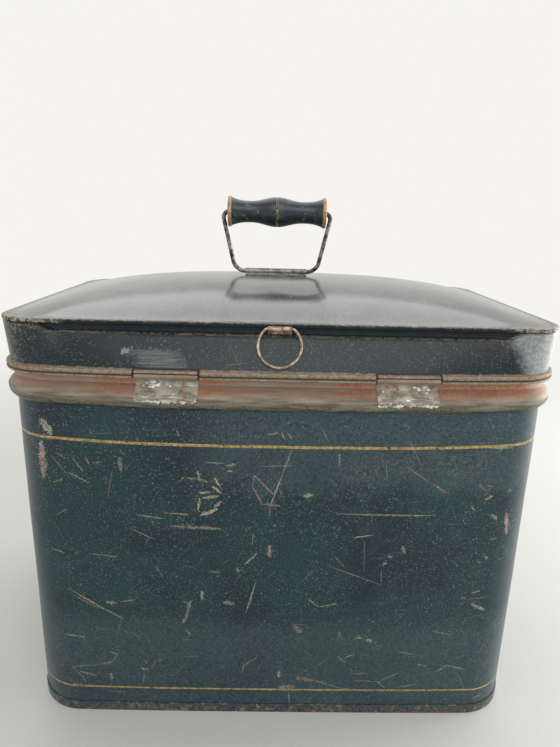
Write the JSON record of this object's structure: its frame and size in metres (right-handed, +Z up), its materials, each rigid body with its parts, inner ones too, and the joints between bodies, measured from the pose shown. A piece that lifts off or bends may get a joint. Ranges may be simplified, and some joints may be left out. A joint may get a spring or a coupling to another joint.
{
  "type": "small tin trunk",
  "caption": "Upright tin trunk with a domed hinged lid, a wire bail with a turned wooden grip, a pull ring and a hasp, for papers and keepsakes.",
  "frame": {"origin": "centre of the flat underside of the trunk, between its short sides and its long sides", "axes": "+Z up; -Y towards the hinge side with the pull ring, which the picture shows; +Y towards the front with the hasp; +X to the right as seen from the hinge side"},
  "size_m": [0.4042, 0.2912, 0.4175],
  "materials": {
    "body_enamel": "worn dark blue-green japanned enamel with gold lines and scratches",
    "lid_enamel": "worn glossy blue-black japanned enamel",
    "hinge_tin": "bare grey tin with solder and rust",
    "rusty_wire": "rusty iron wire",
    "loop_tin": "rusty rolled tin",
    "tube_tin": "dull grey rolled tin",
    "ring_iron": "rust-brown iron wire, rubbed bright",
    "bail_iron": "blackened iron wire, rubbed bright",
    "hasp_tin": "dull tinned iron with rust",
    "grip_lacquer": "turned wood in blue-black lacquer with gilded end rings"
  },
  "bodies": {
    "box": {"body_wall": "body_enamel", "bottom_pan": "body_enamel", "hinge_strap_left": "hinge_tin", "hinge_strap_right": "hinge_tin", "staple": "hasp_tin"},
    "lid": {"lid_wall": "lid_enamel", "lid_top": "lid_enamel", "rim_wire": "rusty_wire", "hinge_pins": "rusty_wire", "ring_loop": "loop_tin", "handle_tube": "tube_tin", "hasp_strap": "hasp_tin", "hasp_pin": "hasp_tin"},
    "bail": {"handle_bail": "bail_iron"},
    "grip": {"handle_grip": "grip_lacquer"},
    "ring": {"pull_ring": "ring_iron"},
    "hasp": {"hasp": "hasp_tin"}
  },
  "joints": [
    {"name": "lid_hinge", "type": "hinge", "parent": "box", "child": "lid", "pos_m": [0, -0.13304, 0.2951], "axis": [1, 0, 0], "range_deg": [0, 150]},
    {"name": "handle_swing", "type": "hinge", "parent": "lid", "child": "bail", "pos_m": [-0.005, 0, 0.3549], "axis": [1, 0, 0], "range_deg": [-80, 80]},
    {"name": "grip_spin", "type": "hinge", "parent": "bail", "child": "grip", "pos_m": [-0.005, 0, 0.4049], "axis": [1, 0, 0], "continuous": true},
    {"name": "ring_swing", "type": "hinge", "parent": "lid", "child": "ring", "pos_m": [-0.002, -0.12346, 0.32764], "axis": [-1, 0, 0], "range_deg": [0, 150]},
    {"name": "hasp_swing", "type": "hinge", "parent": "lid", "child": "hasp", "pos_m": [0, 0.14285, 0.3043], "axis": [-1, 0, 0], "range_deg": [0, 219]}
  ]
}
